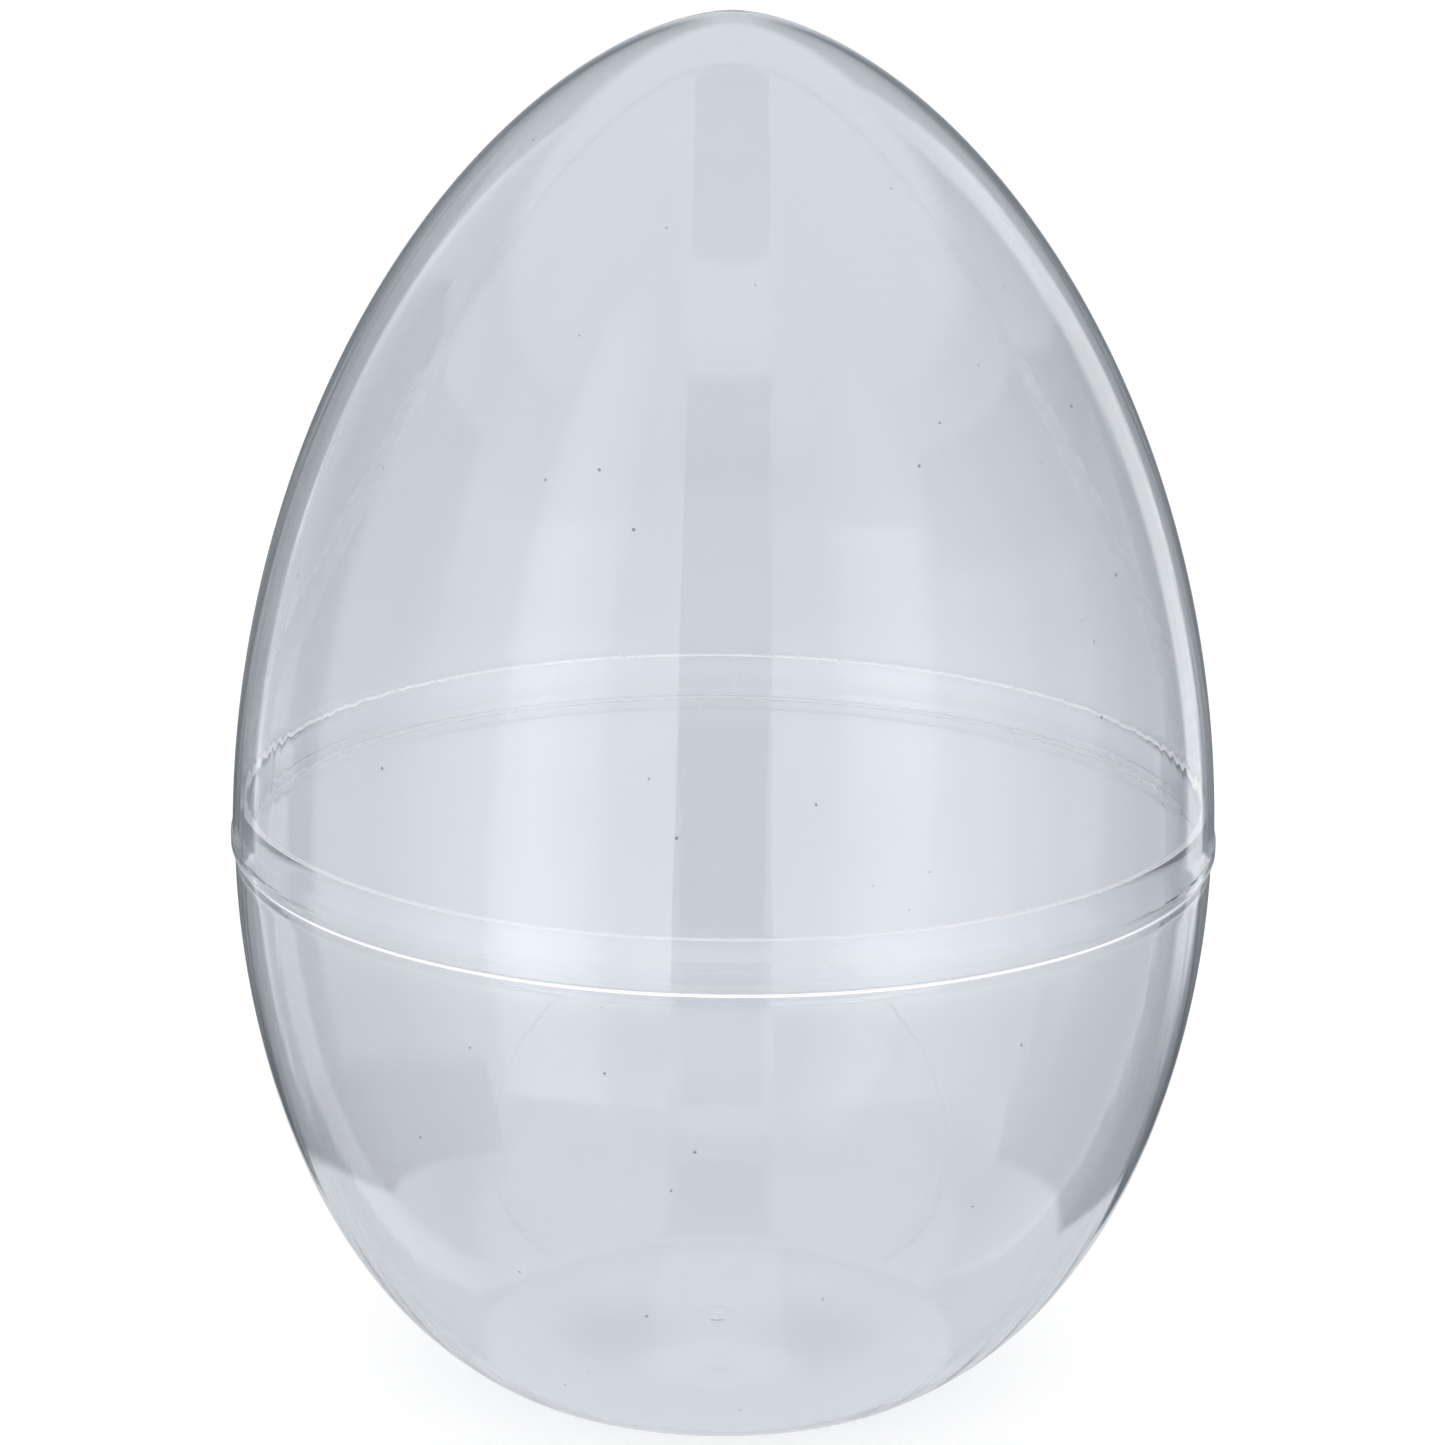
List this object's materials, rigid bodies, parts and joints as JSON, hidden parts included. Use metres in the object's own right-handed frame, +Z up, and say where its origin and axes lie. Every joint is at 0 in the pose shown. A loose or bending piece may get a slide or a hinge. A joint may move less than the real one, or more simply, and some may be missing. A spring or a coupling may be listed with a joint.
{
  "type": "two-piece fillable egg",
  "caption": "Large clear plastic egg container: a pointed dome whose beaded rim slips over the collar of a rounded, flat-footed cup, and lifts off.",
  "frame": {"origin": "centre of the flat foot, on the surface that the egg stands on", "axes": "+Z up along the axis of both shells; the shells are round, so X and Y are free"},
  "size_m": [0.178, 0.178, 0.2485],
  "materials": {
    "clear_cup": "clear moulded plastic with a faint blue-grey haze, glossy, with fine handling scratches",
    "clear_dome": "clear moulded plastic with a faint blue-grey haze, glossy, with fine handling scratches"
  },
  "bodies": {
    "cup": {"lower_shell": "clear_cup"},
    "dome": {"upper_shell": "clear_dome"}
  },
  "joints": [
    {"name": "dome_lift", "type": "slide", "parent": "cup", "child": "dome", "axis": [0, 0, 1], "range_m": [0, 0.16]}
  ]
}
